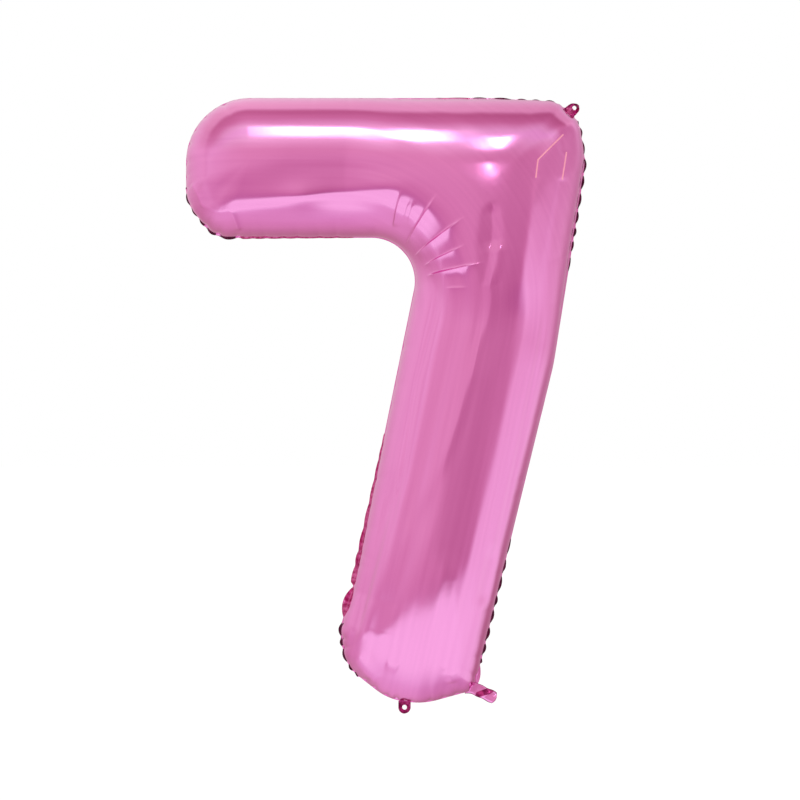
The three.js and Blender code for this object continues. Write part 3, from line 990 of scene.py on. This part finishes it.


def make_neck(foil, crimson_painted_reflection):
    """The fill neck as two plies."""
    hinge = np.array(joint("neck_fold")["pos_m"])
    wide = np.array(joint("neck_fold")["axis"])
    along = np.cross(np.array([0, 1.0, 0]), wide)
    for name, side, node in (("neck_front", -1, "neck_front_ply"), ("neck_back", 1, "neck_back_ply")):
        points, look = neck_grid(side, hinge, along, wide)
        piece = grid_mesh(name, points, False, foil, flip=side > 0)
        piece.data.materials.append(crimson_painted_reflection)
        piece.data.polygons.foreach_set("material_index", look[:-1, :-1].ravel().tolist())
        thicken(piece, NECK_THICKNESS)
        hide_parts(node)
        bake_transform(piece)


# ---- Studio ----

FLOOR_LEVEL = -0.62
CAMERA_PLACE = (-0.0064, -3.0, 0.434)
CAMERA_LENS = 95.5


def make_camera():
    """A long lens, level with the middle of the balloon."""
    camera = bpy.data.cameras.new("camera")
    camera.sensor_width = 36
    camera.lens = CAMERA_LENS
    holder = bpy.data.objects.new("camera", camera)
    holder.location = CAMERA_PLACE
    holder.rotation_euler = (math.pi / 2, 0, 0)
    bpy.context.scene.collection.objects.link(holder)
    bpy.context.scene.camera = holder


def plane(name, size, location, rotation, material):
    """A flat sheet of the studio."""
    mesh = bpy.data.meshes.new(name)
    w, h = size[0] / 2, size[1] / 2
    mesh.from_pydata([(-w, -h, 0), (w, -h, 0), (w, h, 0), (-w, h, 0)], [], [(0, 1, 2, 3)])
    mesh.materials.append(material)
    sheet = bpy.data.objects.new(name, mesh)
    sheet.location = location
    sheet.rotation_euler = rotation
    bpy.context.scene.collection.objects.link(sheet)
    return sheet


def make_floor():
    """A plain pale floor, left out of the foil's reflections."""
    material, _, shader = new_material("floor_paint")
    shader.inputs["Base Color"].default_value = (0.93, 0.93, 0.93, 1)
    shader.inputs["Roughness"].default_value = 0.9
    shader.inputs["Specular IOR Level"].default_value = 0
    shader.inputs["Emission Color"].default_value = (1, 1, 1, 1)
    shader.inputs["Emission Strength"].default_value = 0.12
    floor = plane("floor", (60, 60), (0, 0, FLOOR_LEVEL), (0, 0, 0), material)
    floor.visible_glossy = False


# What the foil mirrors, by the angle round the room in degrees: straight behind at -180 and 180, below
# at -90, in front at 0 and above at 90. The floor and both ceiling edges are bright, the rest dimmer.
SWEEP = [
    (-180, (0.70, 0.46, 0.55)),
    (-152, (0.54, 0.32, 0.37)),
    (-118, (0.76, 0.54, 0.64)),
    (-90, (0.86, 0.72, 0.82)),
    (-66, (0.98, 0.98, 1.00)),
    (-55, (0.92, 0.88, 0.92)),
    (-45, (0.66, 0.40, 0.54)),
    (-36, (0.58, 0.31, 0.46)),
    (-20, (0.66, 0.39, 0.50)),
    (0, (0.76, 0.53, 0.60)),
    (25, (0.80, 0.60, 0.63)),
    (40, (0.92, 0.88, 0.82)),
    (55, (1.00, 1.15, 1.00)),
    (68, (0.92, 0.92, 0.86)),
    (80, (0.72, 0.48, 0.54)),
    (92, (0.61, 0.33, 0.41)),
    (102, (0.60, 0.33, 0.40)),
    (108, (0.88, 0.74, 0.72)),
    (120, (0.92, 0.80, 0.76)),
    (148, (0.90, 0.78, 0.80)),
    (180, (0.70, 0.46, 0.55)),
]
# How far the walls at the two sides show instead, from the left at -1 to the right at 1.
SIDE_SHARE = [
    (-1, 0.85),
    (-0.9, 0.75),
    (-0.75, 0.42),
    (-0.45, 0.18),
    (-0.15, 0.0),
    (0.6, 0.0),
    (0.74, 0.1),
    (0.86, 0.95),
    (1, 0.85),
]
# The side walls' colours, from straight down at -1 to straight up at 1.
LEFT_WALL = [
    (-1, (0.96, 0.90, 0.94)),
    (-0.5, (0.74, 0.52, 0.62)),
    (-0.2, (0.76, 0.53, 0.62)),
    (0.05, (0.82, 0.64, 0.70)),
    (0.3, (0.84, 0.66, 0.72)),
    (0.55, (0.64, 0.38, 0.46)),
    (1, (0.62, 0.35, 0.43)),
]
RIGHT_WALL = [
    (-1, (1.0, 1.0, 1.0)),
    (-0.5, (0.98, 0.95, 0.96)),
    (-0.22, (0.93, 0.84, 0.87)),
    (-0.12, (0.84, 0.68, 0.73)),
    (0.0, (0.68, 0.46, 0.53)),
    (0.35, (0.62, 0.38, 0.46)),
    (1, (0.62, 0.35, 0.43)),
]
# A dimmer part of the room right of the middle, from the left at -1 to the right at 1.
FRONT_SHADE = [
    (-1, (1, 1, 1)),
    (-0.12, (1, 1, 1)),
    (0.1, (0.84, 0.74, 0.80)),
    (0.62, (0.84, 0.74, 0.80)),
    (0.85, (1, 1, 1)),
    (1, (1, 1, 1)),
]


def spread(tree, source, stops):
    """A ramp whose stops run from -1 to 1, over a factor that runs from 0 to 1."""
    return ramp_node(tree, source, [((place + 1) / 2, colour) for place, colour in stops])


def studio_light():
    """The room as the foil mirrors it. Everything else is lit by plain white."""
    world = bpy.data.worlds.new("studio")
    bpy.context.scene.world = world
    world.use_nodes = True
    tree = world.node_tree
    coords = tree.nodes.new("ShaderNodeTexCoord")
    split = tree.nodes.new("ShaderNodeSeparateXYZ")
    tree.links.new(coords.outputs["Generated"], split.inputs[0])
    x, y, z = split.outputs
    angle = math_node(tree, "ARCTAN2", z, math_node(tree, "MULTIPLY", y, -1.0))
    turn = math_node(tree, "MULTIPLY_ADD", angle, 0.5 / math.pi, 0.5)
    right = math_node(tree, "MULTIPLY_ADD", x, 0.5, 0.5)
    above = math_node(tree, "MULTIPLY_ADD", z, 0.5, 0.5)
    sweep = ramp_node(tree, turn, [((degrees + 180) / 360, colour) for degrees, colour in SWEEP])
    shade = spread(tree, right, FRONT_SHADE)
    share = spread(tree, right, [(place, (value,) * 3) for place, value in SIDE_SHARE])
    left_wall = spread(tree, above, LEFT_WALL)
    right_wall = spread(tree, above, RIGHT_WALL)
    walls = mix_node(tree, "MIX", math_node(tree, "GREATER_THAN", x, 0.0), left_wall, right_wall)
    front = mix_node(tree, "MULTIPLY", 1.0, sweep, shade)
    room = mix_node(tree, "MIX", share, front, walls)
    path = tree.nodes.new("ShaderNodeLightPath")
    seen = mix_node(tree, "MIX", path.outputs["Is Glossy Ray"], (1, 1, 1), room)
    tree.links.new(seen, tree.nodes["Background"].inputs["Color"])


def soft_light(name, size, location, tilt, strength, soft):
    """A glowing sheet, tilted about the x axis. Its light fades over these shares at its four edges."""
    material = bpy.data.materials.new(name + "_glow")
    material.use_nodes = True
    tree = material.node_tree
    tree.nodes.remove(tree.nodes["Principled BSDF"])
    coords = tree.nodes.new("ShaderNodeTexCoord")
    split = tree.nodes.new("ShaderNodeSeparateXYZ")
    tree.links.new(coords.outputs["Generated"], split.inputs[0])
    fades = (faded(tree, split.outputs[k], *soft[2 * k:2 * k + 2]) for k in (0, 1))
    fade = math_node(tree, "MULTIPLY", *fades)
    glow = tree.nodes.new("ShaderNodeEmission")
    glow.inputs["Strength"].default_value = strength
    clear = tree.nodes.new("ShaderNodeBsdfTransparent")
    both = tree.nodes.new("ShaderNodeMixShader")
    tree.links.new(fade, both.inputs[0])
    tree.links.new(clear.outputs[0], both.inputs[1])
    tree.links.new(glow.outputs[0], both.inputs[2])
    tree.links.new(both.outputs[0], tree.nodes["Material Output"].inputs["Surface"])
    sheet = plane(name, size, location, (math.radians(tilt), 0, 0), material)
    sheet.visible_camera = False
    sheet.visible_shadow = False
    sheet.visible_diffuse = False


def faded(tree, source, soft_start, soft_end):
    """A factor that rises from nothing at one edge and falls back to nothing at the other."""
    node = tree.nodes.new("ShaderNodeValToRGB")
    node.color_ramp.interpolation = "EASE"
    elements = node.color_ramp.elements
    for place in (soft_start, 1 - soft_end):
        elements.new(place).color = (1, 1, 1, 1)
    elements[0].color = elements[-1].color = (0, 0, 0, 1)
    tree.links.new(source, node.inputs["Fac"])
    return node.outputs["Color"]


def make_studio():
    """The floor, the mirrored room and its soft lights."""
    make_floor()
    studio_light()
    soft_light("key_strip", (0.95, 1.30), (-0.425, -1.72, 3.28), 31, 4.5, (0.74, 0.25, 0.25, 0.25))
    soft_light("window", (0.30, 1.7), (0.480, -2.70, 3.46), 42, 12.0, (0.45, 0.45, 0.35, 0.35))
    soft_light("lamp", (0.10, 0.46), (0.345, -3.0, 1.40), 90, 14.0, (0.4, 0.4, 0.4, 0.4))
    soft_light("lit_floor", (4.4, 1.85), (0, -0.92, -0.55), 0, 1.03, (0.25, 0.25, 0.25, 0.2))


def set_look():
    """Shows the colours as they are, with no film look over them."""
    settings = bpy.context.scene.view_settings
    settings.view_transform = "Standard"
    settings.look = "None"


# ---- Build ----

make_camera()
make_studio()
set_look()

foil = foil_material()
margin = margin_painted_shade_material()
frill = frill_painted_light_material()
tab_painted_reflection = tab_painted_reflection_material()
film = film_material()
ink = ink_material()

columns = make_columns()
field = pucker_field(columns["run"])
for name, side, node in (("foil_front", -1, "front_panel"), ("foil_back", 1, "back_panel")):
    make_panel(name, side, node, columns, field, (foil, margin, frill))

top = joint("top_tab_fold")
bottom = joint("bottom_tab_fold")
top_outward = np.cross(-FORWARD, np.array(top["axis"]))
make_tab("top_tab", "top_hang_tab", top["pos_m"], top_outward, 0.7, 0.8, 0.008, tab_painted_reflection)
bottom_outward = np.array([0, 0, -1.0])
make_tab(
    "bottom_tab", "bottom_hang_tab", bottom["pos_m"], bottom_outward, 0.2, 0.15, 0.004, tab_painted_reflection
)
make_neck(foil, tab_painted_reflection)

for node, obj in frame["nodes"].items():
    if node.startswith(("valve_", "inlet_")):
        chosen = ink if node == "valve_release_patch" else film
        obj.data.materials.clear()
        obj.data.materials.append(chosen)
